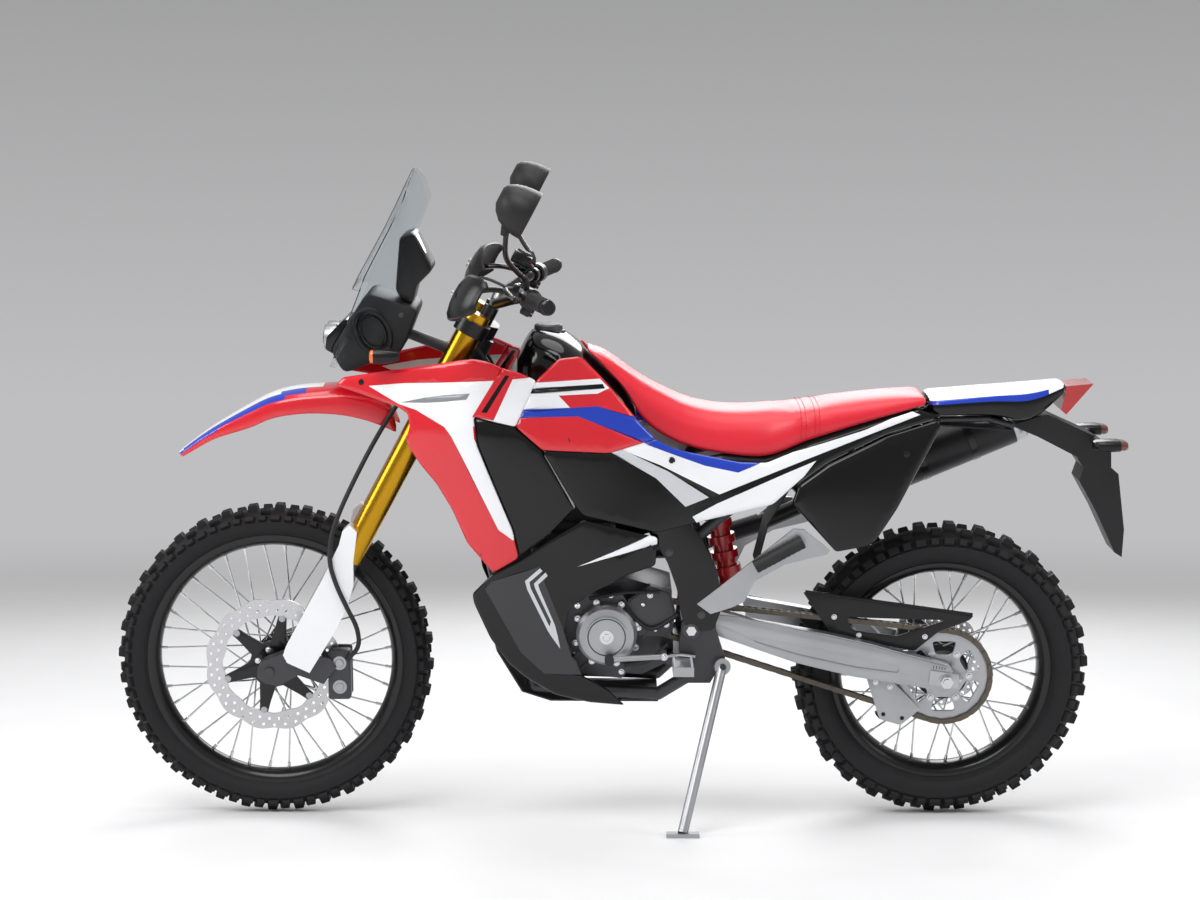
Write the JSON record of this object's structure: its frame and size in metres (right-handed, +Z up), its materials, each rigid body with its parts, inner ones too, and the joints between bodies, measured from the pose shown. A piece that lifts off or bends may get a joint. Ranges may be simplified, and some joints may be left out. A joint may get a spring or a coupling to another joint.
{
  "type": "dual sport motorcycle",
  "caption": "Dual sport motorcycle with high front fender, rally windscreen, wire wheels and knobbly tyres, leaning on its side stand.",
  "frame": {"origin": "middle of the box round the parked motorcycle, on the ground", "axes": "-X to the front, -Y to its left side, +Z up; it leans 9 degrees to the left about X"},
  "size_m": [2.1888, 0.9034, 1.4713],
  "materials": {
    "bar_metal": "satin black",
    "black_plastic": "fine grain",
    "body_plastic": "gloss red with white, blue and black bands",
    "cast_alloy": "satin",
    "chain_steel": "oiled",
    "disc_steel": "brushed",
    "engine_alloy": "satin cast",
    "exhaust_steel": "satin",
    "footrest_metal": "satin",
    "frame_paint": "satin dark grey",
    "gloss_black": "gloss",
    "gold_anodised": "gold anodised",
    "grip_rubber": "matt",
    "hose_rubber": "matt",
    "lamp_amber": "clear amber",
    "lamp_glass": "clear",
    "lamp_red": "clear red",
    "screen_clear": "clear moulded",
    "seat_cover": "grained seat cover",
    "shock_spring": "gloss",
    "skid_alloy": "brushed",
    "sprocket_steel": "brushed",
    "stand_metal": "satin silver",
    "swingarm_alloy": "satin",
    "tyre_rubber": "matt",
    "wheel_metal": "black rim with bright spokes",
    "white_plastic": "satin"
  },
  "bodies": {
    "root": {"drive_chain": "chain_steel", "main_frame": "frame_paint", "subframe": "frame_paint", "rear_mudguard": "black_plastic", "engine": "engine_alloy", "engine_covers": "engine_alloy", "radiator": "engine_alloy", "skid_plate": "skid_alloy", "front_shrouds": "body_plastic", "radiator_grilles": "black_plastic", "knee_panels": "body_plastic", "side_panels": "body_plastic", "rear_side_covers": "gloss_black", "lower_fairings": "black_plastic", "fuel_tank": "gloss_black", "seat": "seat_cover", "tail_cowl": "body_plastic", "tail_light": "lamp_red", "plate_holder": "black_plastic", "nose_fairing": "black_plastic", "headlamp": "lamp_glass", "windscreen": "screen_clear", "instrument_panel": "black_plastic", "indicators": "lamp_amber", "swingarm": "swingarm_alloy", "chain_guards": "black_plastic", "rear_brake_caliper": "cast_alloy", "shock_absorber": "shock_spring", "exhaust": "exhaust_steel", "footrests": "footrest_metal", "foot_levers": "footrest_metal"},
    "front_end": {"fork_tubes": "gold_anodised", "fork_legs": "cast_alloy", "fork_guards": "white_plastic", "fork_clamps": "cast_alloy", "front_fender": "body_plastic", "front_brake_caliper": "cast_alloy", "front_brake_hose": "hose_rubber", "handlebar": "bar_metal", "handlebar_grips": "grip_rubber", "handlebar_controls": "black_plastic", "hand_guards": "black_plastic", "mirrors": "black_plastic"},
    "front_wheel": {"front_tyre": "tyre_rubber", "front_wheel": "wheel_metal", "front_brake_disc": "disc_steel"},
    "rear_wheel": {"rear_tyre": "tyre_rubber", "rear_wheel": "wheel_metal", "rear_brake_disc": "disc_steel", "rear_sprocket": "sprocket_steel"},
    "side_stand": {"side_stand": "stand_metal"}
  },
  "joints": [
    {"name": "steering", "type": "hinge", "parent": "root", "child": "front_end", "pos_m": [-0.37225, 0.0699, 0.91124], "axis": [0.471, -0.138, 0.8713], "range_deg": [-40, 40]},
    {"name": "front_wheel_spin", "type": "hinge", "parent": "front_end", "child": "front_wheel", "pos_m": [-0.74911, 0.15972, 0.34414], "axis": [0, 0.9877, 0.1564], "continuous": true},
    {"name": "rear_wheel_spin", "type": "hinge", "parent": "root", "child": "rear_wheel", "pos_m": [0.70589, 0.16301, 0.32339], "axis": [0, 0.9877, 0.1564], "continuous": true},
    {"name": "side_stand_fold", "type": "hinge", "parent": "root", "child": "side_stand", "pos_m": [0.22137, -0.00169, 0.3405], "axis": [0.2105, -0.9775, 0.0144], "range_deg": [0, 116]}
  ]
}
